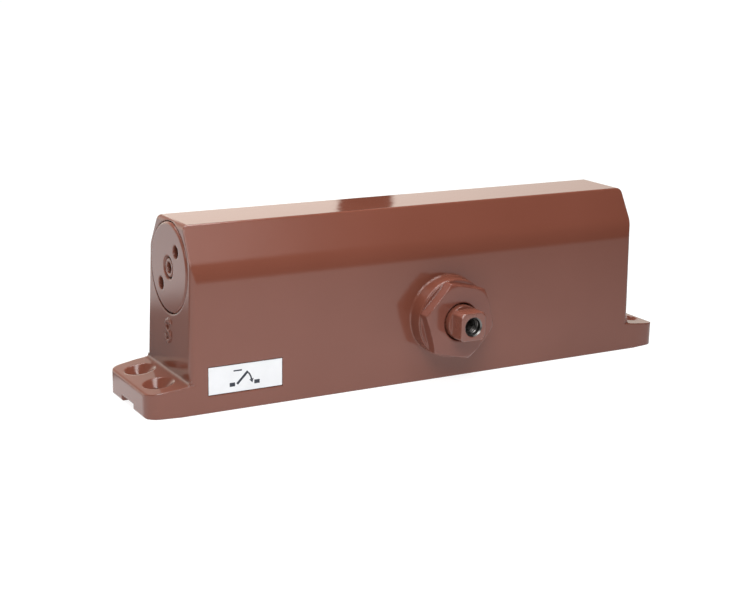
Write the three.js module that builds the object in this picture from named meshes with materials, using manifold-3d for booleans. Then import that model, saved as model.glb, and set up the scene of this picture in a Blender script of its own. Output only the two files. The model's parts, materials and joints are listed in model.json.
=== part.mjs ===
// Overhead door closer, rack-and-pinion type, body only (no arm).
// Millimetres. +X runs along the body, away from the spring end. The pinion axis runs along Y.
// +Z points away from the door. The origin is the middle of the mounting face.
import * as THREE from 'three';
import { mergeVertices } from 'three/addons/utils/BufferGeometryUtils.js';
import Module from 'manifold-3d';

const wasm = await Module();
wasm.setup();

// ---------------------------------------------------------------- driving dimensions

const GAP = 0.3;                       // clearance left between neighbouring pieces
const RUNNING = 0.25;                  // smaller clearance, for pieces that slide or turn
const SEATED = 0.1;                    // left under a collar that is screwed down

const BODY = {
  length: 203,                         // at the level of the foot tops
  width: 43.1,                         // at the mounting face
  height: 69,
  topWidth: 23.5,                      // flat on top, between the two sloping shoulders
  shoulderZ: 53,                       // where the sides turn into the shoulders
  shoulderRadius: 18,
  endDraft: 1.2,                       // each end leans in by this much from foot to top
  sideDraft: 0.9,                      // each side leans in by this much from door to shoulder
  cornerRadius: 2.5,
};
const FOOT = {
  reach: 16.3,                         // past the end of the body
  thickness: 11.3,                     // at the body
  tipThickness: 9.2,
  tipHalfWidth: 19.8,
  tipRadius: 5.5,
  fillet: 1.4,
  holePitch: 220,
  holeGauge: 19,
  holeRadius: 3.1,
  sinkRadius: 5.8,                     // of the countersink, where it meets the foot top
  slotWidth: 12,
  slotDepth: 2.4,
  slotLength: 11,
};
const BORE = { z: 51, radius: 15.5, mouthRadius: 17.4, mouthDepth: 8.3 };
const BOSS = { radius: 16, faceRadius: 15.9, face: 27.5, flare: 0.4 };
const PINION = {
  x: 7.6,
  z: 25.9,
  module: 2.1,
  teeth: 12,
  pressureAngle: THREE.MathUtils.degToRad(25),
  addendum: 1.8,
  dedendum: 2.3,
  backlash: 0.12,                      // taken off each flank
  halfFace: 13.9,
  journalRadius: 7,
  neck: 2.1,                           // round part that shows past the gland nut
  square: 11,
  squareLength: 6.6,
  tapRadius: 3.4,
  tapDepth: 12,
};
const GLAND = {
  plugRadius: 14.6,
  innerEnd: 14.6,                      // distance of the plug's inner end from the middle plane
  hexHeight: 4.8,
  collarHeight: 0.6,
  collarRadius: 15.7,
  hexRadius: 16.2,                     // across the corners
  throatRadius: 7.5,
};
const STROKE_ANGLE = THREE.MathUtils.degToRad(170);
const CAP = { thickness: 8, spigotLength: 4, spannerRadius: 2.5, spannerCircle: 10.2, spannerDepth: 5 };
const POWER = { rodRadius: 4, journalRadius: 3.7, flangeRadius: 6.3, travel: 6, socket: 4 };
const SPRING = { wireRadius: 2.2, meanRadius: 12.6, turns: 6 };
const VALVE = { y: 9.5, z: 22, radius: 3.7, pocketRadius: 4, travel: 1.5 };
const LABEL = { x: -79.4, z: 12, length: 30, height: 10.5, thickness: 0.35 };

// ---------------------------------------------------------------- derived dimensions

const bodyEnd = (z) => BODY.length / 2
  - BODY.endDraft * (z - FOOT.thickness) / (BODY.height - FOOT.thickness);
const halfWidth = (z) => BODY.width / 2 - BODY.sideDraft * z / BODY.shoulderZ;
const CAP_FACE = bodyEnd(BORE.z - BORE.mouthRadius);
const CAP_BACK = CAP_FACE - CAP.thickness;
const SPIGOT_END = CAP_BACK - CAP.spigotLength;
const BOSS_FACE = BOSS.face;
const COLLAR_BACK = BOSS_FACE + SEATED;
const NUT_FACE = COLLAR_BACK + GLAND.collarHeight + GLAND.hexHeight;
const SHOULDER_FACE = NUT_FACE + PINION.neck;
const SHAFT_END = SHOULDER_FACE + PINION.squareLength;
const PITCH_RADIUS = PINION.module * PINION.teeth / 2;
const TIP_RADIUS = PITCH_RADIUS + PINION.addendum;
const CROSS_BORE_RADIUS = GLAND.plugRadius + GAP;
const STROKE = PITCH_RADIUS * STROKE_ANGLE;
const PISTON_RADIUS = BORE.radius - GAP;
const BEARING = { cupRadius: 10.8, raceRadius: 9.6, needleRadius: 1.15, needleCircle: 8.3, needles: 14 };

// ---------------------------------------------------------------- helpers

const AXES = {
  x: new THREE.Vector3(1, 0, 0),
  y: new THREE.Vector3(0, 1, 0),
  z: new THREE.Vector3(0, 0, 1),
};
const NEXT = { x: 'y', y: 'z', z: 'x' };

// A manifold solid from any closed three.js geometry, turned right side out.
function solid(geometry) {
  const bare = geometry.clone();
  bare.deleteAttribute('normal');
  bare.deleteAttribute('uv');
  const merged = mergeVertices(bare, 1e-4);
  const vertices = merged.attributes.position.array;
  const source = merged.index.array;
  const corner = (i) => new THREE.Vector3().fromArray(vertices, 3 * i);
  let triangles = [];
  let volume = 0;
  for (let i = 0; i < source.length; i += 3) {
    const [a, b, c] = [source[i], source[i + 1], source[i + 2]];
    if (a === b || b === c || c === a) continue;
    triangles.push([a, b, c]);
    volume += corner(a).dot(corner(b).cross(corner(c)));
  }
  if (volume < 0) triangles = triangles.map(([a, b, c]) => [a, c, b]);
  return new wasm.Manifold(new wasm.Mesh({
    numProp: 3,
    vertProperties: new Float32Array(vertices),
    triVerts: new Uint32Array(triangles.flat()),
  }));
}

function join(...parts) {
  return parts.reduce((sum, part) => sum.add(part));
}

function cut(base, ...tools) {
  return tools.reduce((rest, tool) => rest.subtract(tool), base);
}

// Corners are [u, v, radius]; every corner with a radius is replaced by an arc.
function outline(corners, steps = 5) {
  const points = [];
  corners.forEach(([u, v, radius = 0], i) => {
    const at = new THREE.Vector2(u, v);
    if (radius === 0) {
      points.push(at);
      return;
    }
    const before = corners[(i + corners.length - 1) % corners.length];
    const after = corners[(i + 1) % corners.length];
    const toBefore = new THREE.Vector2(before[0] - u, before[1] - v).normalize();
    const toAfter = new THREE.Vector2(after[0] - u, after[1] - v).normalize();
    const half = Math.acos(THREE.MathUtils.clamp(toBefore.dot(toAfter), -1, 1)) / 2;
    const middle = toBefore.clone().add(toAfter).normalize();
    const centre = at.clone().addScaledVector(middle, radius / Math.sin(half));
    const start = at.clone().addScaledVector(toBefore, radius / Math.tan(half)).sub(centre);
    const turn = Math.atan2(start.cross(middle), -start.dot(middle)) * 2;
    for (let step = 0; step <= steps; step += 1) {
      const spoke = start.clone().rotateAround(new THREE.Vector2(), -turn * step / steps);
      points.push(centre.clone().add(spoke));
    }
  });
  return points;
}

// A prism along an axis. Outline pairs are in cyclic order: [y, z], [z, x] or [x, y].
function prism(axis, points, from, to) {
  const shape = new THREE.Shape(points);
  const geometry = new THREE.ExtrudeGeometry(shape, { depth: to - from, bevelEnabled: false });
  const [u, v] = [NEXT[axis], NEXT[NEXT[axis]]];
  geometry.translate(0, 0, from);
  geometry.applyMatrix4(new THREE.Matrix4().makeBasis(AXES[u], AXES[v], AXES[axis]));
  return solid(geometry);
}

// A turned piece. Profile pairs are [distance along the axis, radius].
function turned(axis, profile, centre = [0, 0, 0], segments = 40) {
  const points = profile.map(([along, radius]) => new THREE.Vector2(radius, along));
  if (profile[0][1] > 0) points.push(points[0].clone());
  const geometry = new THREE.LatheGeometry(points, segments);
  const [u, v] = [NEXT[axis], NEXT[NEXT[axis]]];
  geometry.applyMatrix4(new THREE.Matrix4().makeBasis(AXES[v], AXES[axis], AXES[u]));
  geometry.translate(...centre);
  return solid(geometry);
}

function rod(axis, radius, from, to, centre, segments = 40) {
  return turned(axis, [[from, 0], [from, radius], [to, radius], [to, 0]], centre, segments);
}

function box(x0, x1, y0, y1, z0, z1) {
  return prism('z', outline([[x0, y0], [x1, y0], [x1, y1], [x0, y1]]), z0, z1);
}

function ringProfile(along, radius, section, steps = 8) {
  return Array.from({ length: steps }, (_, i) => {
    const angle = 2 * Math.PI * i / steps;
    return [along + section * Math.cos(angle), radius + section * Math.sin(angle)];
  });
}

function polygon(sides, radius, phase, centre = [0, 0]) {
  return Array.from({ length: sides }, (_, i) => {
    const angle = phase + 2 * Math.PI * i / sides;
    return new THREE.Vector2(
      centre[0] + radius * Math.cos(angle),
      centre[1] + radius * Math.sin(angle),
    );
  });
}

const hexRadius = (acrossFlats) => acrossFlats / Math.sqrt(3);
const onBore = [0, 0, BORE.z];
const onPinion = [PINION.x, 0, PINION.z];
const mirrorX = (profile, sign) => profile.map(([along, radius]) => [sign * along, radius]);
const scene = new THREE.Group();

function add(name, shape, color, roughness, metalness) {
  const mesh = shape.getMesh();
  const geometry = new THREE.BufferGeometry();
  geometry.setAttribute('position', new THREE.BufferAttribute(mesh.vertProperties, 3));
  geometry.setIndex(new THREE.BufferAttribute(mesh.triVerts, 1));
  geometry.computeVertexNormals();
  const material = new THREE.MeshStandardMaterial({ color, roughness, metalness });
  material.name = name;
  const node = new THREE.Mesh(geometry, material);
  node.name = name;
  scene.add(node);
}

const steel = (name, shape) => add(name, shape, 0xa8a9ab, 0.35, 1);
const rubber = (name, shape) => add(name, shape, 0x1c1c1d, 0.75, 0);
const painted = (name, shape) => add(name, shape, 0x7a4a3c, 0.4, 0.3);

// ---------------------------------------------------------------- housing

// The cross-section of body and feet: sides that lean in, shoulders and the flat top.
function crossSection() {
  const half = BODY.width / 2;
  const halfTop = BODY.topWidth / 2;
  const crease = halfWidth(BODY.shoulderZ);
  return outline([
    [-half, 0], [half, 0],
    [crease, BODY.shoulderZ, BODY.shoulderRadius], [halfTop, BODY.height, 1],
    [-halfTop, BODY.height, 1], [-crease, BODY.shoulderZ, BODY.shoulderRadius],
  ]);
}

// Rounded rectangle in plan, a hair outside the flat sides and ends that trim it.
function bodyPlan(z) {
  const [end, half] = [bodyEnd(z) + 0.03, halfWidth(z) + 0.03];
  const r = BODY.cornerRadius;
  return outline([[-end, -half, r], [end, -half, r], [end, half, r], [-end, half, r]], 5)
    .map(({ x, y }) => [x, y, z]);
}

function bodyBlank() {
  const side = outline([
    [0, -bodyEnd(0)], [BODY.height, -bodyEnd(BODY.height), 2],
    [BODY.height, bodyEnd(BODY.height), 2], [0, bodyEnd(0)],
  ]);
  return wasm.Manifold.hull([...bodyPlan(0), ...bodyPlan(BODY.height)])
    .intersect(prism('y', side, -BODY.width, BODY.width));
}

function footBlank(sign) {
  const half = BODY.width / 2 + 0.5;
  const inner = BODY.length / 2 - 12;
  const tip = BODY.length / 2 + FOOT.reach;
  const rise = FOOT.thickness + FOOT.fillet + 0.2;
  const side = outline([
    [0, sign * inner], [0, sign * tip, 0.8],
    [FOOT.tipThickness, sign * tip, 1.2],
    [FOOT.thickness, sign * bodyEnd(FOOT.thickness), FOOT.fillet],
    [rise, sign * bodyEnd(rise)], [rise, sign * inner],
  ]);
  const plan = outline([
    [sign * inner, -half], [sign * BODY.length / 2, -half, 8],
    [sign * tip, -FOOT.tipHalfWidth, FOOT.tipRadius],
    [sign * tip, FOOT.tipHalfWidth, FOOT.tipRadius],
    [sign * BODY.length / 2, half, 8], [sign * inner, half],
  ]);
  const trim = BODY.width / 2 - 0.9;   // the fillet stops where the body's corner turns away
  const [x0, x1] = [sign * (inner - 1), sign * (tip + 1)].sort((a, b) => a - b);
  return prism('y', side, -half - 1, half + 1)
    .intersect(prism('z', plan, -1, rise + 1))
    .intersect(join(
      box(x0, x1, -half, half, -1, FOOT.thickness),
      box(x0, x1, -trim, trim, FOOT.thickness - 1, rise + 1),
    ));
}

// A boss for a gland nut, with a hollow fillet where it grows out of the side.
function boss(sign) {
  const root = halfWidth(PINION.z);
  const fillet = Array.from({ length: 5 }, (_, i) => {
    const angle = Math.PI / 2 * i / 4;
    return [root + BOSS.flare * (1 - Math.cos(angle)), BOSS.radius + BOSS.flare * (1 - Math.sin(angle))];
  });
  return turned('y', mirrorX([
    [0, 0], [0, BOSS.radius + BOSS.flare], ...fillet,
    [BOSS_FACE - 0.4, BOSS.faceRadius], [BOSS_FACE, BOSS.faceRadius - 0.4], [BOSS_FACE, 0],
  ], sign), onPinion, 48);
}

// Height of the sloping top of a foot.
function footTop(x) {
  const [end, tip] = [bodyEnd(FOOT.thickness), BODY.length / 2 + FOOT.reach];
  return THREE.MathUtils.mapLinear(Math.abs(x), end, tip, FOOT.thickness, FOOT.tipThickness);
}

// Raised S-shaped arrow beside the end that holds the power screw.
function arrowMark() {
  const z = 27;
  const [bend, width, head, steps] = [2, 1.2, 1.3, 12];
  const ribbon = [[1, 20, 250], [-1, 90, -230]].flatMap(([side, start, sweep]) => (
    Array.from({ length: steps + 1 }, (_, i) => {
      const across = new THREE.Vector2(1, 0)
        .rotateAround(new THREE.Vector2(), THREE.MathUtils.degToRad(start + sweep * i / steps));
      const spot = new THREE.Vector2(0, side * bend).addScaledVector(across, bend);
      return { spot, across: across.multiplyScalar(side) };
    })
  )).filter((_, i) => i !== steps);
  const shifted = ({ spot, across }, by) => spot.clone().addScaledVector(across, by);
  const last = ribbon[ribbon.length - 1];
  const forward = new THREE.Vector2(last.across.y, -last.across.x).multiplyScalar(-1);
  const points = [
    ...ribbon.map((each) => shifted(each, width / 2)),
    shifted(last, head), last.spot.clone().addScaledVector(forward, 2 * head), shifted(last, -head),
    ...ribbon.map((each) => shifted(each, -width / 2)).reverse(),
  ].map(({ x, y }) => new THREE.Vector2(-x, z + y));
  return prism('x', points, -bodyEnd(z) - 0.55, -bodyEnd(z) + 1);
}

function housing() {
  const screwTools = [];
  for (const sx of [-1, 1]) {
    for (const sy of [-1, 1]) {
      const at = [sx * FOOT.holePitch / 2, sy * FOOT.holeGauge / 2, 0];
      const top = footTop(at[0]);
      screwTools.push(turned('z', [
        [-1, 0], [-1, FOOT.holeRadius], [top - FOOT.sinkRadius + FOOT.holeRadius, FOOT.holeRadius],
        [top + 2, FOOT.sinkRadius + 2], [top + 2, 0],
      ], at, 32));
    }
  }
  const slots = [-1, 1].map((sign) => {
    const tip = sign * (BODY.length / 2 + FOOT.reach);
    const [x0, x1] = [tip - sign * FOOT.slotLength, tip + sign].sort((a, b) => a - b);
    return box(x0, x1, -FOOT.slotWidth / 2, FOOT.slotWidth / 2, -1, FOOT.slotDepth);
  });
  const mouth = CAP_FACE - BORE.mouthDepth;
  const mainBore = turned('x', [
    [-CAP_FACE - 3, 0], [-CAP_FACE - 3, BORE.mouthRadius], [-mouth, BORE.mouthRadius],
    [-mouth, BORE.radius], [mouth, BORE.radius],
    [mouth, BORE.mouthRadius], [CAP_FACE + 3, BORE.mouthRadius], [CAP_FACE + 3, 0],
  ], onBore, 48);
  const crossBore = rod('y', CROSS_BORE_RADIUS, -BOSS_FACE - 1, BOSS_FACE + 1, onPinion, 48);
  const valveTools = [-1, 1].flatMap((sign) => {
    const at = [0, sign * VALVE.y, VALVE.z];
    const port = sign < 0 ? 56 : 84;   // closing-speed port, latching-speed port
    return [
      rod('x', VALVE.pocketRadius, 78, 104, at, 24),
      rod('x', 1.5, PINION.x + 10, 80, at, 16),
      rod('z', 1.2, VALVE.z, BORE.z - 8, [port, sign * VALVE.y, 0], 12),
    ];
  });
  const trunk = prism('x', crossSection(), -BODY.length, BODY.length)
    .intersect(join(bodyBlank(), footBlank(-1), footBlank(1)));
  const blank = join(trunk, boss(-1), boss(1), arrowMark());
  return cut(blank, mainBore, crossBore, ...screwTools, ...slots, ...valveTools, labelPocket());
}

// A flat slab that lies in the leaning front side; depths are measured inwards from it.
function slab(margin, outside, inside) {
  const along = new THREE.Vector2(BODY.sideDraft, BODY.shoulderZ).normalize();
  const inwards = new THREE.Vector2(along.y, -along.x);
  const middle = new THREE.Vector2(-halfWidth(LABEL.z), LABEL.z);
  const reach = LABEL.height / 2 + margin;
  const corners = [[-1, outside], [-1, inside], [1, inside], [1, outside]].map(([end, depth]) => (
    middle.clone().addScaledVector(along, end * reach).addScaledVector(inwards, depth)
  ));
  const half = LABEL.length / 2 + margin;
  return prism('x', corners, LABEL.x - half, LABEL.x + half);
}

function labelPocket() {
  return slab(RUNNING, -1, LABEL.thickness + 0.1);
}

painted('housing', housing());
add('label', slab(0, 0.05, 0.05 + LABEL.thickness), 0xf2f2f0, 0.5, 0);

// ---------------------------------------------------------------- end caps

const CAP_RADIUS = BORE.mouthRadius - GAP;
const CAP_SEAL = { along: CAP_BACK - 2, radius: 14.35, section: 0.95, floor: 13.2, halfWidth: 1.25 };

function capProfile(hollow) {
  const { along, floor, halfWidth } = CAP_SEAL;
  const inside = [
    [SPIGOT_END, 7], [CAP_FACE - 7, 7], [CAP_FACE - 7, 4], [CAP_FACE - 0.7, 4], [CAP_FACE, 4.7],
  ];
  return [
    ...(hollow ? inside : [[CAP_FACE, 0]]),
    [CAP_FACE, CAP_RADIUS - 0.6], [CAP_FACE - 0.6, CAP_RADIUS], [CAP_BACK, CAP_RADIUS],
    [CAP_BACK, PISTON_RADIUS], [along + halfWidth, PISTON_RADIUS], [along + halfWidth, floor],
    [along - halfWidth, floor], [along - halfWidth, PISTON_RADIUS], [SPIGOT_END, PISTON_RADIUS],
    ...(hollow ? [] : [[SPIGOT_END, 0]]),
  ];
}

function endCap(sign) {
  const hollow = sign < 0;
  const blank = turned('x', mirrorX(capProfile(hollow), sign), onBore, 48);
  const lean = THREE.MathUtils.degToRad(46);
  const holes = [0, Math.PI].map((phase) => {
    const y = CAP.spannerCircle * -Math.cos(lean + phase);
    const z = BORE.z + CAP.spannerCircle * Math.sin(lean + phase);
    const [x0, x1] = [sign * (CAP_FACE - CAP.spannerDepth), sign * (CAP_FACE + 1)].sort((a, b) => a - b);
    return rod('x', CAP.spannerRadius, x0, x1, [0, y, z], 24);
  });
  return cut(blank, ...holes);
}

painted('end_cap_spring', endCap(-1));
painted('end_cap_blind', endCap(1));
for (const [name, sign] of [['o_ring_cap_spring', -1], ['o_ring_cap_blind', 1]]) {
  rubber(name, turned('x', ringProfile(sign * CAP_SEAL.along, CAP_SEAL.radius, CAP_SEAL.section), onBore, 28));
}

// ---------------------------------------------------------------- spring force adjuster

const SEAT = { from: -SPIGOT_END + 0.4, thickness: 4, guideRadius: 9.8, guideLength: 3 };
const SEAT_FACE = SEAT.from + SEAT.thickness;
const FLANGE_FROM = -CAP_FACE + 7 + GAP;
const ROD_END = SEAT_FACE + POWER.travel + SEAT.guideLength + 2;
const ROD_SEAL = { along: -CAP_FACE + 4.5, radius: 3.35, section: 0.55, floor: 2.7, halfWidth: 0.8 };

function powerScrew() {
  const { along, floor, halfWidth } = ROD_SEAL;
  const face = -CAP_FACE + 0.3;
  const blank = turned('x', [
    [face, 0], [face, POWER.journalRadius - 0.3], [face + 0.3, POWER.journalRadius],
    [along - halfWidth, POWER.journalRadius], [along - halfWidth, floor],
    [along + halfWidth, floor], [along + halfWidth, POWER.journalRadius],
    [FLANGE_FROM, POWER.journalRadius], [FLANGE_FROM, POWER.flangeRadius],
    [FLANGE_FROM + 2.5, POWER.flangeRadius], [FLANGE_FROM + 2.5, POWER.rodRadius],
    [ROD_END - 0.8, POWER.rodRadius], [ROD_END, POWER.rodRadius - 0.8], [ROD_END, 0],
  ], onBore, 32);
  const socket = prism('x', polygon(6, hexRadius(POWER.socket), 0, [0, BORE.z]), face - 1, face + 3.2);
  return cut(blank, socket);
}

steel('power_screw', powerScrew());
rubber('o_ring_power_screw', turned('x', ringProfile(ROD_SEAL.along, ROD_SEAL.radius, ROD_SEAL.section, 6), onBore, 20));
steel('spring_seat', turned('x', [
  [SEAT.from, POWER.rodRadius + RUNNING], [SEAT.from, PISTON_RADIUS], [SEAT_FACE, PISTON_RADIUS],
  [SEAT_FACE, SEAT.guideRadius], [SEAT_FACE + SEAT.guideLength - 0.8, SEAT.guideRadius],
  [SEAT_FACE + SEAT.guideLength, SEAT.guideRadius - 0.8],
  [SEAT_FACE + SEAT.guideLength, POWER.rodRadius + RUNNING],
], onBore));

// ---------------------------------------------------------------- pinion

const involute = (angle) => Math.tan(angle) - angle;

function gearOutline() {
  const base = PITCH_RADIUS * Math.cos(PINION.pressureAngle);
  const root = PITCH_RADIUS - PINION.dedendum;
  const pitch = 2 * Math.PI / PINION.teeth;
  const halfAtPitch = pitch / 4 - PINION.backlash / PITCH_RADIUS;
  const halfAt = (radius) => halfAtPitch + involute(PINION.pressureAngle)
    - involute(Math.acos(Math.min(1, base / radius)));
  const steps = 5;
  const flank = [[root, halfAt(base)]];
  for (let i = 0; i <= steps; i += 1) {
    const radius = base + (TIP_RADIUS - base) * i / steps;
    flank.push([radius, halfAt(radius)]);
  }
  const points = [];
  for (let tooth = 0; tooth < PINION.teeth; tooth += 1) {
    const middle = tooth * pitch;
    const left = flank.map(([radius, half]) => [radius, middle - half]);
    const right = flank.map(([radius, half]) => [radius, middle + half]).reverse();
    for (const [radius, angle] of [...left, ...right]) {
      points.push(new THREE.Vector2(
        PINION.z + radius * Math.cos(angle),
        PINION.x + radius * Math.sin(angle),
      ));
    }
  }
  return points;
}

function pinion() {
  const gear = prism('y', gearOutline(), -PINION.halfFace, PINION.halfFace);
  const half = PINION.square / 2;
  const bevel = 0.5;
  const shaft = turned('y', [
    [-SHAFT_END, 0], [-SHAFT_END, PINION.journalRadius - bevel],
    [-SHAFT_END + bevel, PINION.journalRadius], [SHAFT_END - bevel, PINION.journalRadius],
    [SHAFT_END, PINION.journalRadius - bevel], [SHAFT_END, 0],
  ], onPinion, 48);
  const square = prism('y', polygon(4, half * Math.SQRT2, Math.PI / 4, [PINION.z, PINION.x]),
    -SHAFT_END - 1, SHAFT_END + 1);
  const middle = rod('y', PINION.journalRadius + 1, -SHOULDER_FACE, SHOULDER_FACE, onPinion, 48);
  const taps = [-1, 1].map((sign) => turned('y', mirrorX([
    [SHAFT_END - PINION.tapDepth - 2, 0], [SHAFT_END - PINION.tapDepth, PINION.tapRadius],
    [SHAFT_END - 0.6, PINION.tapRadius], [SHAFT_END, PINION.tapRadius + 0.6],
    [SHAFT_END + 1, PINION.tapRadius + 0.6], [SHAFT_END + 1, 0],
  ], sign), onPinion, 24));
  return cut(shaft.intersect(join(square, middle)).add(gear), ...taps);
}

steel('pinion', pinion());

// ---------------------------------------------------------------- piston with its rack

const RACK = {
  z: PINION.z + PITCH_RADIUS,          // height of the pitch line
  clear: 11.5,                         // room for the pinion past the last point of contact
  head: 9,
};
const RACK_FROM = PINION.x - RACK.clear;
const RACK_TO = PINION.x + STROKE + RACK.clear;
const PISTON_FROM = RACK_FROM - RACK.head;
const PISTON_TO = RACK_TO + RACK.head;
const CHECK = { z: 47, pocketRadius: 3.3, pocketDepth: 7, ballRadius: 2.8, throat: 1.6, ringWidth: 1.1 };

function rackTool() {
  const pitch = Math.PI * PINION.module;
  const rootZ = RACK.z + PINION.dedendum;
  const tipZ = RACK.z - PINION.addendum;
  const slope = Math.tan(PINION.pressureAngle);
  const halfRoot = pitch / 4 - PINION.backlash + PINION.dedendum * slope;
  const halfTip = pitch / 4 - PINION.backlash - PINION.addendum * slope;
  const floor = BORE.z - BORE.radius - 1;
  const points = [[floor, RACK_FROM], [rootZ, RACK_FROM]];
  const first = Math.ceil((RACK_FROM + 3 - PINION.x) / pitch);
  const last = Math.floor((RACK_TO - 3 - PINION.x) / pitch) - 1;
  for (let tooth = first; tooth <= last; tooth += 1) {
    const x = PINION.x + (tooth + 0.5) * pitch;
    points.push([rootZ, x - halfRoot], [tipZ, x - halfTip], [tipZ, x + halfTip], [rootZ, x + halfRoot]);
  }
  points.push([rootZ, RACK_TO], [floor, RACK_TO]);
  return prism('y', points.map(([z, x]) => new THREE.Vector2(z, x)), -BORE.radius - 1, BORE.radius + 1);
}

function piston() {
  const { guideRadius, guideLength } = SEAT;
  const blank = turned('x', [
    [PISTON_FROM - guideLength, 0], [PISTON_FROM - guideLength, guideRadius - 0.8],
    [PISTON_FROM - guideLength + 0.8, guideRadius], [PISTON_FROM, guideRadius],
    [PISTON_FROM, PISTON_RADIUS - 0.8], [PISTON_FROM + 0.8, PISTON_RADIUS],
    [PISTON_TO - 0.8, PISTON_RADIUS], [PISTON_TO, PISTON_RADIUS - 0.8], [PISTON_TO, 0],
  ], onBore, 48);
  const drop = RACK_TO - 1.8;
  return cut(
    blank,
    rackTool(),
    rod('x', CHECK.pocketRadius, PISTON_TO - CHECK.pocketDepth, PISTON_TO + 1, [0, 0, CHECK.z], 24),
    rod('x', CHECK.throat, drop, PISTON_TO - 1, [0, 0, CHECK.z], 16),
    rod('z', CHECK.throat, RACK.z, CHECK.z, [drop, 0, 0], 16),
  );
}

const BALL_SEAT = PISTON_TO - CHECK.pocketDepth;
const BALL_X = BALL_SEAT + Math.sqrt(CHECK.ballRadius ** 2 - CHECK.throat ** 2) + 0.1;
const ballSteps = 8;
const ballProfile = Array.from({ length: ballSteps + 1 }, (_, i) => {
  const angle = Math.PI * i / ballSteps;
  return [BALL_X - CHECK.ballRadius * Math.cos(angle), CHECK.ballRadius * Math.sin(angle)];
});
ballProfile[ballSteps][1] = 0;

steel('piston', piston());
steel('check_ball', turned('x', ballProfile, [0, 0, CHECK.z], 16));
steel('check_retainer', turned('x', [
  [PISTON_TO - 0.1 - CHECK.ringWidth, 1.5], [PISTON_TO - 0.1 - CHECK.ringWidth, CHECK.pocketRadius - 0.2],
  [PISTON_TO - 0.1, CHECK.pocketRadius - 0.2], [PISTON_TO - 0.1, 1.5],
], [0, 0, CHECK.z], 24));

// ---------------------------------------------------------------- main spring

class SpringPath extends THREE.Curve {
  constructor(from, to) {
    super();
    this.from = from;
    this.to = to;
  }

  // The end turns lie close together and the middle turns share the rest of the length.
  getPoint(t, target = new THREE.Vector3()) {
    const closed = 2 * SPRING.wireRadius + 0.35;
    const turn = t * SPRING.turns;
    const open = (this.to - this.from - 2 * closed) / (SPRING.turns - 2);
    const first = Math.min(turn, 1) * closed;
    const middle = THREE.MathUtils.clamp(turn - 1, 0, SPRING.turns - 2) * open;
    const last = Math.max(turn - SPRING.turns + 1, 0) * closed;
    const angle = 2 * Math.PI * turn;
    return target.set(
      this.from + first + middle + last,
      SPRING.meanRadius * Math.cos(angle),
      BORE.z + SPRING.meanRadius * Math.sin(angle),
    );
  }
}

function mainSpring() {
  const reach = SPRING.wireRadius + GAP;
  const path = new SpringPath(SEAT_FACE + reach, PISTON_FROM - reach);
  const wire = new THREE.Shape(polygon(8, SPRING.wireRadius, 0));
  return solid(new THREE.ExtrudeGeometry(wire, { steps: 18 * SPRING.turns, extrudePath: path }));
}

steel('main_spring', mainSpring());

// ---------------------------------------------------------------- bearings, glands and seals

const CUP = { from: GLAND.innerEnd + 0.4, length: 9.4, lip: 0.6, lipRadius: 8.2 };
const CUP_TO = CUP.from + CUP.length;
const SEAL_FROM = CUP_TO + 0.8;
const SEAL_TO = NUT_FACE - 3 - 0.4;
const GLAND_SEAL = { along: 24.8, radius: 13.9, section: 0.85, floor: 12.9, halfWidth: 1.15 };

function bearingCup(sign) {
  return turned('y', mirrorX([
    [CUP.from, CUP.lipRadius], [CUP.from, BEARING.cupRadius],
    [CUP_TO, BEARING.cupRadius], [CUP_TO, CUP.lipRadius],
    [CUP_TO - CUP.lip, CUP.lipRadius], [CUP_TO - CUP.lip, BEARING.raceRadius],
    [CUP.from + CUP.lip, BEARING.raceRadius], [CUP.from + CUP.lip, CUP.lipRadius],
  ], sign), onPinion, 32);
}

function bearingCage(sign) {
  const from = CUP.from + CUP.lip + GAP;
  const to = CUP_TO - CUP.lip - GAP;
  const rings = [[from, from + 1.1], [to - 1.1, to]].map(([a, b]) => turned('y', mirrorX([
    [a, 7.35], [a, 9.25], [b, 9.25], [b, 7.35],
  ], sign), onPinion, 28));
  const needles = [];
  for (let i = 0; i < BEARING.needles; i += 1) {
    const angle = 2 * Math.PI * i / BEARING.needles;
    const at = [
      PINION.x + BEARING.needleCircle * Math.cos(angle), 0,
      PINION.z + BEARING.needleCircle * Math.sin(angle),
    ];
    const [y0, y1] = [sign * (from + 0.4), sign * (to - 0.4)].sort((a, b) => a - b);
    needles.push(rod('y', BEARING.needleRadius, y0, y1, at, 8));
  }
  return join(...rings, ...needles);
}

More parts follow.
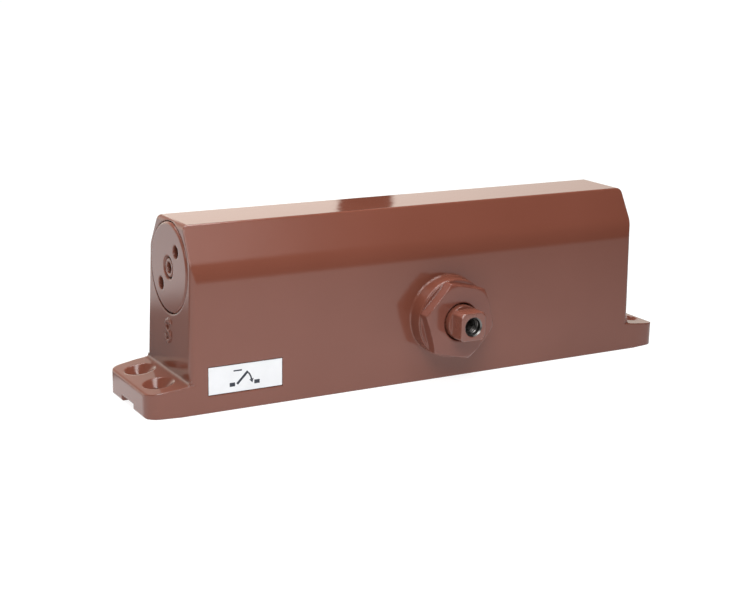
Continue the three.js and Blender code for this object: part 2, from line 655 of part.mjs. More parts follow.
function glandNut(sign, phase) {
  const { along, floor, halfWidth } = GLAND_SEAL;
  const collar = COLLAR_BACK + GLAND.collarHeight;
  const outside = turned('y', mirrorX([
    [GLAND.innerEnd, 0], [GLAND.innerEnd, GLAND.plugRadius],
    [along - halfWidth, GLAND.plugRadius], [along - halfWidth, floor],
    [along + halfWidth, floor], [along + halfWidth, GLAND.plugRadius],
    [COLLAR_BACK, GLAND.plugRadius], [COLLAR_BACK, GLAND.collarRadius],
    [collar, GLAND.collarRadius], [collar, 0],
  ], sign), onPinion, 48);
  const crown = turned('y', mirrorX([
    [collar - 0.5, 0], [collar - 0.5, GLAND.hexRadius], [NUT_FACE - 1, GLAND.hexRadius],
    [NUT_FACE, GLAND.hexRadius - 1.9], [NUT_FACE, 0],
  ], sign), onPinion, 48);
  const [y0, y1] = [sign * (collar - 1), sign * (NUT_FACE + 1)].sort((a, b) => a - b);
  const hex = prism('y', polygon(6, GLAND.hexRadius, phase, [PINION.z, PINION.x]), y0, y1);
  const inside = turned('y', mirrorX([
    [GLAND.innerEnd - 1, 0], [GLAND.innerEnd - 1, BEARING.cupRadius + GAP],
    [CUP_TO + GAP, BEARING.cupRadius + GAP], [CUP_TO + GAP, 10.3], [SEAL_TO + GAP, 10.3],
    [SEAL_TO + GAP, GLAND.throatRadius], [NUT_FACE - 0.4, GLAND.throatRadius],
    [NUT_FACE + 0.1, GLAND.throatRadius + 0.5], [NUT_FACE + 1, 0],
  ], sign), onPinion, 36);
  return cut(outside.add(crown.intersect(hex)), inside);
}

// A lip seal: thick at the outside, thinning to the lip that wipes the shaft.
function shaftSeal(sign) {
  const lip = PINION.journalRadius + RUNNING;
  return turned('y', mirrorX([
    [SEAL_FROM, 8.6], [SEAL_FROM, 10], [SEAL_TO, 10], [SEAL_TO, lip + 0.4],
    [SEAL_TO - 0.8, lip], [SEAL_FROM + 1.6, lip],
  ], sign), onPinion, 32);
}

const HEX_LEAN = THREE.MathUtils.degToRad(17);
for (const [side, sign, phase] of [['front', -1, -HEX_LEAN], ['back', 1, 0]]) {
  painted(`gland_nut_${side}`, glandNut(sign, phase));
  steel(`bearing_cup_${side}`, bearingCup(sign));
  steel(`bearing_cage_${side}`, bearingCage(sign));
  rubber(`shaft_seal_${side}`, shaftSeal(sign));
  const { along, radius, section } = GLAND_SEAL;
  rubber(`o_ring_gland_${side}`, turned('y', ringProfile(sign * along, radius, section), onPinion, 28));
}

// ---------------------------------------------------------------- speed valves

const VALVE_FACE = bodyEnd(VALVE.z) - VALVE.travel - 0.5;
const VALVE_SEAL = { along: VALVE_FACE - 8, radius: 3.25, section: 0.6, floor: 2.6, halfWidth: 0.9 };

function valveScrew(y) {
  const { along, floor, halfWidth } = VALVE_SEAL;
  const blank = turned('x', [
    [76.8, 0], [76.8, 0.7], [82, 2.3], [84, 2.3], [84, VALVE.radius],
    [along - halfWidth, VALVE.radius], [along - halfWidth, floor],
    [along + halfWidth, floor], [along + halfWidth, VALVE.radius],
    [VALVE_FACE - 0.4, VALVE.radius], [VALVE_FACE, VALVE.radius - 0.4], [VALVE_FACE, 0],
  ], [0, y, VALVE.z], 28);
  const slot = box(VALVE_FACE - 1.6, VALVE_FACE + 1, y - 5, y + 5, VALVE.z - 0.55, VALVE.z + 0.55);
  return cut(blank, slot);
}

for (const [kind, sign] of [['closing', -1], ['latching', 1]]) {
  const y = sign * VALVE.y;
  add(`valve_${kind}`, valveScrew(y), 0xb9964a, 0.35, 1);
  const { along, radius, section } = VALVE_SEAL;
  rubber(`o_ring_valve_${kind}`, turned('x', ringProfile(along, radius, section, 6), [0, y, VALVE.z], 20));
}

export default scene;
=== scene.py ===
"""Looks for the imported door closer: paint, steel, rubber, label print, studio and camera.

Everything is in metres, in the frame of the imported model: +X along the body, Y along the
pinion axis, +Z away from the mounting face, which lies on the floor.
"""

import json
import math

import bmesh
import bpy
from mathutils import Matrix, Vector


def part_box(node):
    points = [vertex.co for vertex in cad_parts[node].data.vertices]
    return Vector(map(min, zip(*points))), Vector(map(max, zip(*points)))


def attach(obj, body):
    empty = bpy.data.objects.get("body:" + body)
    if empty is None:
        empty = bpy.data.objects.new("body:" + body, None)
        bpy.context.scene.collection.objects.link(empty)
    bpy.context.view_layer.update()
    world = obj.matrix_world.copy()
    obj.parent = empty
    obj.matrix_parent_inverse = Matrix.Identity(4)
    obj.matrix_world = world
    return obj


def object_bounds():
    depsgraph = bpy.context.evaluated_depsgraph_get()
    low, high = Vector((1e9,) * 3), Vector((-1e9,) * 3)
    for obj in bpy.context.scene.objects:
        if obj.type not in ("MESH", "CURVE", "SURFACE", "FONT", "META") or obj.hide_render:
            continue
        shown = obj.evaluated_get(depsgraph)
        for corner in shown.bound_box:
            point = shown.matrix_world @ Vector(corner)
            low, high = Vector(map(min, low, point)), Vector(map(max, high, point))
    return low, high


MM = 0.001

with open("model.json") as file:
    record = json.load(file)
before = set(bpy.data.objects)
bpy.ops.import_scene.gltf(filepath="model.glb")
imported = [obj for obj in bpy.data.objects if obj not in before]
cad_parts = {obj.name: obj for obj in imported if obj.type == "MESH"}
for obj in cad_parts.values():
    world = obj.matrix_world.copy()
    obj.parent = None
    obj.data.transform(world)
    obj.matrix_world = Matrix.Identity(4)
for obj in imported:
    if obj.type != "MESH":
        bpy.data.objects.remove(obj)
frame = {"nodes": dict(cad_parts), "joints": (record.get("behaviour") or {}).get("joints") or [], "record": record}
cad_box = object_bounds()
nodes = frame["nodes"]
joints = {joint["name"]: joint for joint in frame["joints"]}
PINION_AT = Vector(joints["pinion_spin"]["pos_m"])

# ------------------------------------------------------------------ small node-tree builder


def add_node(tree, kind, **settings):
    node = tree.nodes.new(kind)
    for key, value in settings.items():
        setattr(node, key, value)
    return node


BEVEL_SAMPLES = 6


class Graph:
    """Builds a node material with one Principled shader, from object coordinates."""

    def __init__(self, name):
        self.material = bpy.data.materials.new(name)
        self.material.use_nodes = True
        self.tree = self.material.node_tree
        self.shader = self.tree.nodes["Principled BSDF"]
        self.place = self.add("ShaderNodeTexCoord").outputs["Object"]

    def add(self, kind, **settings):
        return add_node(self.tree, kind, **settings)

    def link(self, output, socket):
        if isinstance(output, (int, float, tuple)):
            socket.default_value = output
        else:
            self.tree.links.new(output, socket)

    def set(self, **values):
        for key, value in values.items():
            self.link(value, self.shader.inputs[key.replace("_", " ")])

    def noise(self, scale, detail=2.0, rough=0.5, stretch=None):
        node = self.add("ShaderNodeTexNoise")
        node.inputs["Scale"].default_value = scale
        node.inputs["Detail"].default_value = detail
        node.inputs["Roughness"].default_value = rough
        place = self.place
        if stretch:
            mapping = self.add("ShaderNodeMapping")
            mapping.inputs["Scale"].default_value = stretch
            self.link(place, mapping.inputs["Vector"])
            place = mapping.outputs["Vector"]
        self.link(place, node.inputs["Vector"])
        return node.outputs["Fac"]

    def ramp(self, value, low, high, out_low=0.0, out_high=1.0, smooth=False):
        """Goes from out_low at low to out_high at high, and keeps those values beyond them."""
        shape = "SMOOTHSTEP" if smooth else "LINEAR"
        node = self.add("ShaderNodeMapRange", interpolation_type=shape)
        node.inputs["From Min"].default_value = low
        node.inputs["From Max"].default_value = high
        node.inputs["To Min"].default_value = out_low
        node.inputs["To Max"].default_value = out_high
        self.link(value, node.inputs["Value"])
        return node.outputs["Result"]

    def math(self, operation, a, b=0.0):
        node = self.add("ShaderNodeMath", operation=operation)
        self.link(a, node.inputs[0])
        self.link(b, node.inputs[1])
        return node.outputs[0]

    def vector(self, operation, a, b=(0.0, 0.0, 0.0), output="Vector"):
        node = self.add("ShaderNodeVectorMath", operation=operation)
        self.link(a, node.inputs[0])
        self.link(b, node.inputs[1])
        return node.outputs[output]

    def split(self, vector):
        node = self.add("ShaderNodeSeparateXYZ")
        self.link(vector, node.inputs[0])
        return node.outputs["X"], node.outputs["Y"], node.outputs["Z"]

    def mix(self, factor, a, b):
        node = self.add("ShaderNodeMix", data_type="RGBA")
        self.link(factor, node.inputs["Factor"])
        self.link(a, node.inputs["A"])
        self.link(b, node.inputs["B"])
        return node.outputs["Result"]

    def blend(self, factor, a, b):
        node = self.add("ShaderNodeMix", data_type="FLOAT")
        self.link(factor, node.inputs["Factor"])
        self.link(a, node.inputs["A"])
        self.link(b, node.inputs["B"])
        return node.outputs["Result"]

    def bump(self, height, depth, before=None):
        node = self.add("ShaderNodeBump")
        node.inputs["Distance"].default_value = depth
        node.inputs["Strength"].default_value = 1.0
        self.link(height, node.inputs["Height"])
        if before is not None:
            self.link(before, node.inputs["Normal"])
        return node.outputs["Normal"]

    def rounded(self, radius):
        """The normal as if every edge had been rounded a little."""
        node = self.add("ShaderNodeBevel", samples=BEVEL_SAMPLES)
        node.inputs["Radius"].default_value = radius
        return node.outputs["Normal"]

    def edges(self, rounded):
        """0 on flat faces and 1 close to an edge."""
        flat = self.add("ShaderNodeNewGeometry").outputs["Normal"]
        alike = self.vector("DOT_PRODUCT", rounded, flat, output="Value")
        return self.ramp(alike, 0.995, 0.93)

    def beside_axis(self, centre, axis):
        """Distance from a line through centre along axis."""
        offset = self.vector("SUBTRACT", self.place, tuple(centre))
        across = tuple(0.0 if part else 1.0 for part in axis)
        return self.vector("LENGTH", self.vector("MULTIPLY", offset, across), output="Value")


def rgb(r, g, b):
    return (r, g, b, 1.0)


# ------------------------------------------------------------------ materials

PAINT_IOR = 1.5
EDGE_RADIUS = 0.9 * MM


def paint_layers(g, base, dark, light, roughness, peel):
    """Colour, roughness, normal and lacquer normal of glossy stoving paint on a casting."""
    mottle = g.noise(26.0, 2.0, 0.5)
    colour = g.mix(g.ramp(mottle, 0.3, 0.7), rgb(*dark), rgb(*base))
    dust = g.ramp(g.noise(900.0, 2.0, 0.6), 0.66, 0.8, 0.0, 0.1)
    colour = g.mix(dust, colour, rgb(*light))
    rounded = g.rounded(EDGE_RADIUS)
    worn = g.math("MULTIPLY", g.edges(rounded), g.ramp(g.noise(420.0, 3.0), 0.35, 0.65, 0.05, 0.4))
    colour = g.mix(worn, colour, rgb(*light))
    rough = g.ramp(g.noise(150.0, 3.0, 0.6), 0.3, 0.7, roughness - 0.04, roughness + 0.06)
    peel_waves = g.noise(240.0, 1.0, 0.4)
    normal = g.bump(peel_waves, 0.00002 * peel, rounded)
    normal = g.bump(g.noise(900.0, 2.0, 0.5), 0.00001 * peel, normal)
    return colour, rough, normal, g.bump(peel_waves, 0.000012 * peel, rounded)


def paint(name, base, dark, light, roughness=0.34, peel=1.0):
    g = Graph(name)
    colour, rough, normal, coat_normal = paint_layers(g, base, dark, light, roughness, peel)
    g.set(Base_Color=colour, Roughness=rough, Normal=normal)
    g.set(IOR=PAINT_IOR, Specular_IOR_Level=0.0)         # only the lacquer on top reflects
    _, _, upwards = g.split(g.add("ShaderNodeTexCoord").outputs["Normal"])
    gloss = g.ramp(upwards, 0.93, 0.99, 0.15, 0.05)      # the paint lies smoothest on top
    g.set(Coat_Weight=1.0, Coat_Roughness=gloss, Coat_IOR=PAINT_IOR, Coat_Normal=coat_normal)
    return g.material


def steel_layers(g, base, dark, roughness, stretch, grain):
    marks = g.noise(grain, 3.0, 0.6, stretch)
    film = g.noise(90.0, 3.0, 0.6)
    colour = g.mix(g.ramp(film, 0.35, 0.7), rgb(*dark), rgb(*base))
    rough = g.ramp(marks, 0.3, 0.7, roughness - 0.08, roughness + 0.1)
    return colour, rough, g.bump(marks, 0.00002)


def steel(name, base, dark, roughness=0.32, stretch=(1.0, 1.0, 1.0), grain=900.0):
    """Turned or ground steel: fine tool marks, slightly uneven oil film."""
    g = Graph(name)
    colour, rough, normal = steel_layers(g, base, dark, roughness, stretch, grain)
    g.set(Base_Color=colour, Roughness=rough, Normal=normal, Metallic=1.0)
    return g.material


BROWN = (0.176, 0.057, 0.037)
BROWN_DARK = (0.164, 0.052, 0.033)
BROWN_LIGHT = (0.27, 0.11, 0.08)
CAP_BROWN = (0.18, 0.06, 0.04)
CAP_BROWN_DARK = (0.166, 0.053, 0.035)
GLAND_BROWN = (0.176, 0.057, 0.039)
GLAND_BROWN_DARK = (0.162, 0.051, 0.034)
STEEL = (0.56, 0.56, 0.57)
STEEL_DARK = (0.40, 0.40, 0.41)
OILED = (0.2, 0.19, 0.185)
OILED_DARK = (0.12, 0.115, 0.11)
SPRING_BLUE = (0.13, 0.14, 0.17)
SPRING_BLUE_DARK = (0.07, 0.075, 0.1)
BRASS = (0.78, 0.57, 0.27)
BRASS_DARK = (0.6, 0.42, 0.18)
THREAD_GREY = (0.26, 0.245, 0.235)
THREAD_GREY_DARK = (0.16, 0.15, 0.145)
PAINTED_FROM = 31.0 * MM          # the spindle ends are painted from here outwards
PAINTED_BESIDE = 3.9 * MM         # but not inside their tapped holes


def spindle():
    """Bare steel inside the body and in the tapped holes, painted over on the ends that show."""
    g = Graph("spindle_steel")
    paint_colour, paint_rough, paint_normal, _ = paint_layers(
        g, BROWN, BROWN_DARK, BROWN_LIGHT, 0.28, 0.7)
    colour, rough, normal = steel_layers(g, OILED, OILED_DARK, 0.34, (1.0, 0.15, 1.0), 1500.0)
    along = g.math("ABSOLUTE", g.split(g.place)[1])
    outside = g.math("GREATER_THAN", along, PAINTED_FROM)
    beside = g.math("GREATER_THAN", g.beside_axis(PINION_AT, (0, 1, 0)), PAINTED_BESIDE)
    painted = g.math("MULTIPLY", outside, beside)
    g.set(Base_Color=g.mix(painted, colour, paint_colour))
    g.set(Metallic=g.ramp(painted, 0.0, 1.0, 1.0, 0.0))
    g.set(Roughness=g.blend(painted, rough, paint_rough))
    normals = g.add("ShaderNodeMix", data_type="VECTOR")
    g.link(painted, normals.inputs["Factor"])
    g.link(normal, normals.inputs["A"])
    g.link(paint_normal, normals.inputs["B"])
    g.set(Normal=normals.outputs["Result"])
    g.set(Coat_Weight=0.4, Coat_Roughness=0.18, Coat_IOR=PAINT_IOR)
    return g.material


def nitrile():
    g = Graph("nitrile")
    grain = g.noise(1500.0, 3.0, 0.6)
    colour = g.mix(g.ramp(g.noise(160.0), 0.3, 0.7), rgb(0.012, 0.012, 0.013), rgb(0.03, 0.03, 0.032))
    g.set(Base_Color=colour, Roughness=g.ramp(grain, 0.3, 0.7, 0.5, 0.7))
    g.set(Normal=g.bump(grain, 0.00002))
    return g.material


def label_film():
    g = Graph("label_film")
    fibre = g.noise(1800.0, 3.0, 0.6, (1.0, 1.0, 3.0))
    tone = g.ramp(g.noise(120.0, 3.0), 0.3, 0.7)
    colour = g.mix(tone, rgb(0.70, 0.71, 0.73), rgb(0.76, 0.77, 0.79))
    g.set(Base_Color=colour, Roughness=g.ramp(fibre, 0.3, 0.7, 0.34, 0.44))
    g.set(Normal=g.bump(fibre, 0.000006))
    g.set(Coat_Weight=0.3, Coat_Roughness=0.15)
    return g.material


def ink():
    g = Graph("label_ink")
    grain = g.noise(2600.0, 3.0, 0.7)
    colour = g.mix(g.ramp(grain, 0.35, 0.7), rgb(0.014, 0.018, 0.03), rgb(0.026, 0.032, 0.05))
    g.set(Base_Color=colour, Roughness=g.ramp(grain, 0.3, 0.7, 0.35, 0.5))
    g.set(Normal=g.bump(grain, 0.000004))
    return g.material


FINISH = {
    "housing_paint": paint("housing_paint", BROWN, BROWN_DARK, BROWN_LIGHT),
    "cap_paint": paint("cap_paint", CAP_BROWN, CAP_BROWN_DARK, BROWN_LIGHT, 0.36, 1.2),
    "gland_paint": paint("gland_paint", GLAND_BROWN, GLAND_BROWN_DARK, BROWN_LIGHT, 0.32, 0.9),
    "machined_steel": steel("machined_steel", STEEL, STEEL_DARK),
    "spindle_steel": spindle(),
    "spring_steel": steel("spring_steel", SPRING_BLUE, SPRING_BLUE_DARK, 0.3),
    "valve_brass": steel("valve_brass", BRASS, BRASS_DARK, 0.28),
    "nitrile": nitrile(),
    "label_film": label_film(),
}
INK = ink()
THREAD_STEEL = steel("thread_steel", THREAD_GREY, THREAD_GREY_DARK, 0.3)
POWER_SCREW_PAINT = paint("power_screw_paint", BROWN, BROWN_DARK, BROWN_LIGHT, 0.3, 0.7)


def dress(piece, *materials):
    piece.data.materials.clear()
    for material in materials:
        piece.data.materials.append(material)


for part in frame["record"]["subparts"]:
    dress(nodes[part["node"]], FINISH[part["material_slot"]])
dress(nodes["power_screw"], POWER_SCREW_PAINT)

# ------------------------------------------------------------------ edge rounding on CAD nodes

WELD_DISTANCE = 0.002 * MM
FLAT_ANGLE = math.radians(0.4)            # facets that meet at less than this become one face
SHARP_ANGLE = math.radians(28)            # edges sharper than this are rounded
SMALL_ROUNDING = (0.2 * MM, 2)            # width and segments
GLAND_ROUNDING = (0.35 * MM, 3)
ROUNDING = {
    "housing": (0.8 * MM, 4),
    "gland_nut_front": GLAND_ROUNDING,
    "gland_nut_back": GLAND_ROUNDING,
}


def soften(piece, width, segments):
    """Merge flat facets, round the sharp edges and shade big flat faces flat."""
    weld = piece.modifiers.new("weld", "WELD")
    weld.merge_threshold = WELD_DISTANCE
    flat = piece.modifiers.new("merge flats", "DECIMATE")
    flat.decimate_type = "DISSOLVE"
    flat.angle_limit = FLAT_ANGLE
    bevel = piece.modifiers.new("round edges", "BEVEL")
    bevel.width = width
    bevel.segments = segments
    bevel.limit_method = "ANGLE"
    bevel.angle_limit = SHARP_ANGLE
    bevel.use_clamp_overlap = True
    bevel.miter_outer = "MITER_ARC"
    normals = piece.modifiers.new("flat normals", "WEIGHTED_NORMAL")
    normals.mode = "FACE_AREA"
    normals.weight = 100
    normals.keep_sharp = True
    piece.data.polygons.foreach_set("use_smooth", [True] * len(piece.data.polygons))


for name, node in nodes.items():
    soften(node, *ROUNDING.get(name, SMALL_ROUNDING))

# ------------------------------------------------------------------ new pieces


def add_object(name, data):
    """A new object in the scene around a mesh, a lamp or a camera."""
    thing = bpy.data.objects.new(name, data)
    bpy.context.scene.collection.objects.link(thing)
    return thing


def piece_from(name, mesh, material):
    """A new piece from a finished bmesh, with all its faces turned outwards."""
    bmesh.ops.recalc_face_normals(mesh, faces=mesh.faces)
    data = bpy.data.meshes.new(name)
    mesh.to_mesh(data)
    mesh.free()
    piece = add_object(name, data)
    dress(piece, material)
    return piece


# ------------------------------------------------------------------ printed sign on the label

label_low, label_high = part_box("label")
LABEL_MIDDLE = (label_low + label_high) / 2
LABEL_FACE = [v.co for v in nodes["label"].data.vertices if v.co.y < LABEL_MIDDLE.y]
LOW_EDGE = min(LABEL_FACE, key=lambda v: (round(v.z, 5), v.y))
HIGH_EDGE = max(LABEL_FACE, key=lambda v: (round(v.z, 5), -v.y))
LABEL_SLOPE = (HIGH_EDGE.y - LOW_EDGE.y) / (HIGH_EDGE.z - LOW_EDGE.z)
PRINT_HEIGHT = 0.03 * MM


def on_label(across, above, raised):
    """A point of the print, in millimetres from the label's middle."""
    z = LABEL_MIDDLE.z + above * MM
    y = LOW_EDGE.y + LABEL_SLOPE * (z - LOW_EDGE.z)
    return Vector((LABEL_MIDDLE.x + across * MM, y + (0.02 * MM - raised), z))


def stroke(points, width):
    """The outline of a drawn line: one side there, the other side back."""
    sides = ([], [])
    for i, point in enumerate(points):
        ahead = Vector(points[min(i + 1, len(points) - 1)]) - Vector(points[max(i - 1, 0)])
        across = Vector((-ahead.y, ahead.x)).normalized() * width / 2
        sides[0].append(Vector(point) + across)
        sides[1].append(Vector(point) - across)
    return sides


def sweep(centre, radius, start, end, steps=18):
    angles = [math.radians(start + (end - start) * i / steps) for i in range(steps + 1)]
    return [(centre[0] + radius * math.cos(a), centre[1] + radius * math.sin(a)) for a in angles]


def ribbon(mesh, points, width):
    """One printed line: a thin closed slab along the points."""
    one, two = stroke(points, width)
    rows = [
        [mesh.verts.new(on_label(*p, raised)) for p in side]
        for raised in (PRINT_HEIGHT, 0.0) for side in (one, two)
    ]
    top_one, top_two, low_one, low_two = rows
    for i in range(len(points) - 1):
        mesh.faces.new((top_one[i], top_two[i], top_two[i + 1], top_one[i + 1]))
        mesh.faces.new((low_two[i], low_one[i], low_one[i + 1], low_two[i + 1]))
        mesh.faces.new((low_one[i], top_one[i], top_one[i + 1], low_one[i + 1]))
        mesh.faces.new((top_two[i], low_two[i], low_two[i + 1], top_two[i + 1]))
    for i in (0, -1):
        mesh.faces.new((top_one[i], low_one[i], low_two[i], top_two[i]))


def arrow_head(mesh, tip, direction, size):
    ahead = Vector(direction).normalized() * size
    across = Vector((-ahead.y, ahead.x)) * 0.62
    flat = [Vector(tip) + ahead, Vector(tip) + across, Vector(tip) - across]
    top = [mesh.verts.new(on_label(*p, PRINT_HEIGHT)) for p in flat]
    low = [mesh.verts.new(on_label(*p, 0.0)) for p in flat]
    mesh.faces.new(top)
    mesh.faces.new(low[::-1])
    for i in range(3):
        mesh.faces.new((top[i], low[i], low[(i + 1) % 3], top[(i + 1) % 3]))


def door_sign():
    """A door leaf seen from above, its swing and the frame on both sides. No lettering."""
    mesh = bmesh.new()
    sill = -2.3
    bar = 2.9
    hinge = (-3.6, sill)
    leaf = 4.4
    swing = sweep(hinge, 6.0, 40, 12)
    for left, right in ((-6.6, -4.4), (3.4, 5.6)):
        ribbon(mesh, [(left, sill), (right, sill)], 1.5)
    ribbon(mesh, [hinge, (hinge[0] + leaf, hinge[1] + leaf)], 0.95)
    ribbon(mesh, swing, 0.6)
    arrow_head(mesh, swing[-1], (0.25, -1.0), 1.5)
    ribbon(mesh, [(-5.0, bar), (-1.6, bar)], 0.55)
    piece = piece_from("label_print", mesh, INK)
    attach(piece, "closer_body")


door_sign()

# ------------------------------------------------------------------ threads in the spindle ends

THREAD_PITCH = 1.25 * MM
THREAD_TURNS = 8
THREAD_STEPS = 40
TAP_RADIUS = 3.42 * MM
RIDGE_HEIGHT = 0.32 * MM
RIDGE_HALF = 0.5 * MM
CREST_HALF = 0.1 * MM
THREAD_FROM = 0.9 * MM            # behind the end face of the spindle
FADE_STEPS = 12                   # over which the ridge rises and sinks at its ends


def tapped_thread(name, side):
    """The ridge of the screw thread inside one spindle end; side is -1 at the front, 1 at the back."""
    low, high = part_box("pinion")
    mouth = (high.y if side > 0 else -low.y) - THREAD_FROM
    mesh = bmesh.new()
    rings = []
    total = THREAD_TURNS * THREAD_STEPS
    for i in range(total + 1):
        angle = side * math.tau * i / THREAD_STEPS
        depth = mouth - RIDGE_HALF - THREAD_PITCH * i / THREAD_STEPS
        crest = TAP_RADIUS - RIDGE_HEIGHT * min(1.0, i / FADE_STEPS, (total - i) / FADE_STEPS)
        section = (
            (TAP_RADIUS, RIDGE_HALF),
            (crest, CREST_HALF),
            (crest, -CREST_HALF),
            (TAP_RADIUS, -RIDGE_HALF),
        )
        ring = []
        for radius, shift in section:
            x = PINION_AT.x + radius * math.cos(angle)
            z = PINION_AT.z + radius * math.sin(angle)
            ring.append(mesh.verts.new((x, side * (depth + shift), z)))
        rings.append(ring)
    for ring, following in zip(rings, rings[1:]):
        for j in range(4):
            k = (j + 1) % 4
            mesh.faces.new((ring[j], ring[k], following[k], following[j]))
    mesh.faces.new(rings[0][::-1])
    mesh.faces.new(rings[-1])
    piece = piece_from(name, mesh, THREAD_STEEL)
    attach(piece, "pinion_body")


tapped_thread("tapped_thread_front", -1)
tapped_thread("tapped_thread_back", 1)

# ------------------------------------------------------------------ studio

PAPER_GLOW_LEFT = 1.1
PAPER_GLOW_RIGHT = 0.418
PAPER_GLOW_SEEN = 0.9             # for the camera alone
FLOOR_RADIUS = 0.75
FLOOR_STEPS = 96


def paper(name):
    """White paper, seen as overexposed. The light it gives to the object is painted: it glows less to the right
    and far in front, and it holds a painted shadow of the object behind it.
    """
    g = Graph(name)
    x, y, _ = g.split(g.place)
    # painted light: the glow falls off from left to right and fades far in front
    glow = g.ramp(x, -0.08, 0.3, PAPER_GLOW_LEFT, PAPER_GLOW_RIGHT, smooth=True)
    glow = g.math("MULTIPLY", glow, g.ramp(y, -0.42, -0.22, 0.05, 1.0, smooth=True))
    # painted shadow of the object on the paper behind it, in the light given to everything but the camera
    behind = g.ramp(y, 0.028, 0.045, smooth=True)
    shadow = g.math("MULTIPLY", behind, g.ramp(y, 0.17, 0.12, smooth=True))
    glow = g.math("MULTIPLY", glow, g.ramp(shadow, 0.0, 1.0, 1.0, 0.02))
    seen = g.add("ShaderNodeLightPath").outputs["Is Camera Ray"]
    tone = g.ramp(g.noise(3.0, 3.0), 0.3, 0.7, 0.196, 0.2)
    colour = g.add("ShaderNodeCombineColor")
    for channel in ("Red", "Green", "Blue"):
        g.link(tone, colour.inputs[channel])
    g.set(Base_Color=colour.outputs["Color"], Roughness=0.95, Specular_IOR_Level=0.0)
    g.set(Emission_Color=rgb(1.0, 1.0, 1.0))
    g.set(Emission_Strength=g.blend(seen, glow, PAPER_GLOW_SEEN))
    return g.material


def round_floor(material):
    """One round flat sheet under the object, facing up."""
    level = cad_box[0].z
    turns = [math.tau * i / FLOOR_STEPS for i in range(FLOOR_STEPS)]
    rim = [(FLOOR_RADIUS * math.cos(t), FLOOR_RADIUS * math.sin(t), level) for t in turns]
    data = bpy.data.meshes.new("floor")
    data.from_pydata(rim, [], [tuple(range(FLOOR_STEPS))])
    piece = add_object("floor", data)
    dress(piece, material)
    return piece


round_floor(paper("paper"))

world = bpy.data.worlds.new("studio")
bpy.context.scene.world = world
world.use_nodes = True
WHITE = (1.0, 1.0, 1.0)
SKY_SEEN = 1.02                   # for the camera alone
BEHIND = Vector((-0.26, 0.95, 0.2)).normalized()        # where the pale backdrop stands
BACKDROP_LIGHT = 1.7
BACKDROP_TINT = (1.0, 0.97, 0.87)
FRONT_LAMP = Vector((0.28, -0.68, 0.68)).normalized()   # a small lamp above the front
LAMP_LIGHT = 2.0
LAMP_EDGE = math.cos(math.radians(12.3))
LAMP_CORE = math.cos(math.radians(4))
STAND_TURN = math.radians(29.73)  # a dark upright stands in this direction, behind the object
STAND = Vector((math.sin(STAND_TURN), math.cos(STAND_TURN), 0.0))
STAND_HALF_WIDTH = math.sin(math.radians(1.02))


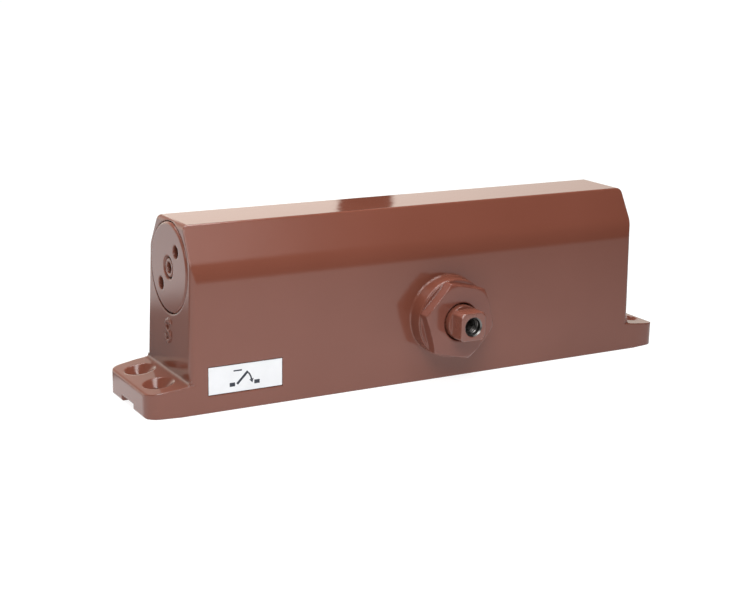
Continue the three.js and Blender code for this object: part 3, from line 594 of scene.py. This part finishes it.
def studio_light(tree):
    """White to the camera all around. The light it gives is a pale backdrop and a front lamp."""
    def add(kind, **settings):
        return add_node(tree, kind, **settings)

    place = add("ShaderNodeTexCoord").outputs["Generated"]

    def along(direction):
        dot = add("ShaderNodeVectorMath", operation="DOT_PRODUCT")
        tree.links.new(place, dot.inputs[0])
        dot.inputs[1].default_value = tuple(direction)
        return dot.outputs["Value"]

    def step(value, low, high, dim=0.0, bright=1.0):
        node = add("ShaderNodeMapRange", interpolation_type="SMOOTHSTEP")
        tree.links.new(value, node.inputs["Value"])
        limits = {"From Min": low, "From Max": high, "To Min": dim, "To Max": bright}
        for key, limit in limits.items():
            node.inputs[key].default_value = limit
        return node.outputs["Result"]

    def product(a, b):
        node = add("ShaderNodeMath", operation="MULTIPLY")
        tree.links.new(a, node.inputs[0])
        tree.links.new(b, node.inputs[1])
        return node.outputs[0]

    def glow(colour, strength):
        node = add("ShaderNodeBackground")
        node.inputs["Color"].default_value = rgb(*colour)
        if isinstance(strength, float):
            node.inputs["Strength"].default_value = strength
        else:
            tree.links.new(strength, node.inputs["Strength"])
        return node.outputs["Background"]

    aside = add("ShaderNodeMath", operation="ABSOLUTE")
    tree.links.new(along((STAND.y, -STAND.x, 0.0)), aside.inputs[0])
    beside_stand = step(aside.outputs[0], STAND_HALF_WIDTH - 0.002, STAND_HALF_WIDTH + 0.003)
    backdrop = product(step(along(BEHIND), 0.1, 0.98, 0.01, BACKDROP_LIGHT), beside_stand)
    backdrop = product(backdrop, step(along((0.0, 0.0, 1.0)), 0.55, 0.17, 0.12, 1.0))
    lamp = step(along(FRONT_LAMP), LAMP_EDGE, LAMP_CORE, 0.0, LAMP_LIGHT)
    both = add("ShaderNodeAddShader")
    tree.links.new(glow(BACKDROP_TINT, backdrop), both.inputs[0])
    tree.links.new(glow(WHITE, lamp), both.inputs[1])
    choose = add("ShaderNodeMixShader")
    tree.links.new(add("ShaderNodeLightPath").outputs["Is Camera Ray"], choose.inputs["Fac"])
    tree.links.new(both.outputs["Shader"], choose.inputs[1])
    tree.links.new(glow(WHITE, SKY_SEEN), choose.inputs[2])
    tree.links.new(choose.outputs["Shader"], tree.nodes["World Output"].inputs["Surface"])


studio_light(world.node_tree)


def softbox(name, place, aim, size, power):
    """A white rectangular lamp at place that points to aim."""
    data = bpy.data.lights.new(name, "AREA")
    data.shape = "RECTANGLE"
    data.size, data.size_y = size
    data.energy = power
    data.color = WHITE
    lamp = add_object(name, data)
    lamp.location = place
    lamp.rotation_euler = (Vector(aim) - Vector(place)).to_track_quat("-Z", "Y").to_euler()


softbox("softbox_top", (0.0, 0.08, 0.8), (0, 0, 0), (0.5, 0.9), 10.5)
softbox("softbox_front_left", (-0.2, -0.34, 0.38), (-0.03, 0, 0.04), (0.24, 0.24), 1.7)

# ------------------------------------------------------------------ camera

AZIMUTH = math.radians(-30.304)
ELEVATION = math.radians(14.597)
ROLL = math.radians(1.419)
SENSOR = 36.0                     # millimetres, the width
LENS = 70.57
SHIFT = (-0.00301, 0.00176)       # in widths of the picture
OFFSET = (9.189 * MM, -26.269 * MM)
DISTANCE = 604.52 * MM
NEAREST = 0.01

back = Vector((
    math.sin(AZIMUTH) * math.cos(ELEVATION),
    -math.cos(AZIMUTH) * math.cos(ELEVATION),
    math.sin(ELEVATION),
))
level = Vector((math.cos(AZIMUTH), math.sin(AZIMUTH), 0.0))
upright = back.cross(level)
right = level * math.cos(ROLL) + upright * math.sin(ROLL)
up = upright * math.cos(ROLL) - level * math.sin(ROLL)
eye = back * DISTANCE - right * OFFSET[0] - up * OFFSET[1]

camera_data = bpy.data.cameras.new("camera")
camera_data.sensor_width = SENSOR
camera_data.lens = LENS
camera_data.shift_x, camera_data.shift_y = SHIFT
camera_data.clip_start = NEAREST
camera = add_object("camera", camera_data)
turn = Matrix((right, up, back)).transposed().to_4x4()
camera.matrix_world = Matrix.Translation(eye) @ turn
bpy.context.scene.camera = camera
bpy.context.scene.view_settings.view_transform = "Standard"
